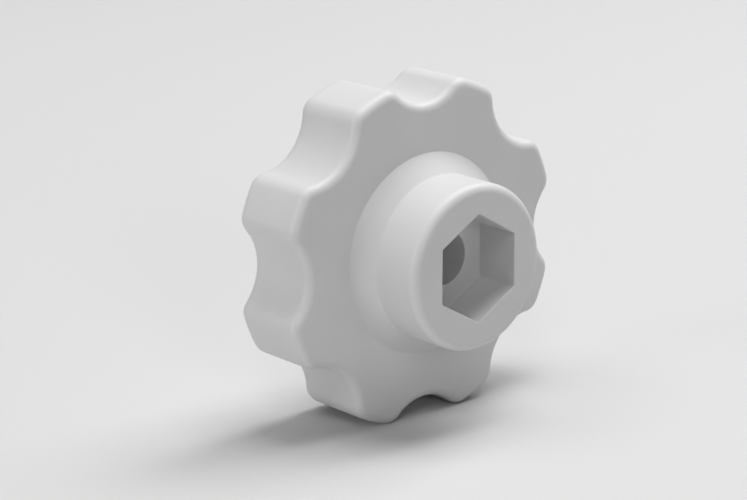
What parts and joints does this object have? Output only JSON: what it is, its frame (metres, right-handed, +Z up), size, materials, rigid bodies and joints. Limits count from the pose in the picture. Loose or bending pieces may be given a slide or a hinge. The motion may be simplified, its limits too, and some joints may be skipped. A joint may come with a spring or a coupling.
{
  "type": "star knob",
  "caption": "Moulded star knob with rounded lobes, a soft back edge, and a hub on a conical collar with a hexagon socket and a through bore for an M6 nut or bolt.",
  "frame": {"origin": "on the bore's axis, in the flat back of the head", "axes": "+Y along the bore towards the flat back, so the hub and its socket point to -Y; +Z up through a flute, as the knob stands on the lobes beside the opposite flute; +X across"},
  "size_m": [0.0364, 0.018, 0.0364],
  "materials": {
    "body": "light grey moulded nylon, fine matte"
  },
  "bodies": {
    "root": {"star_knob": "body"}
  },
  "joints": []
}
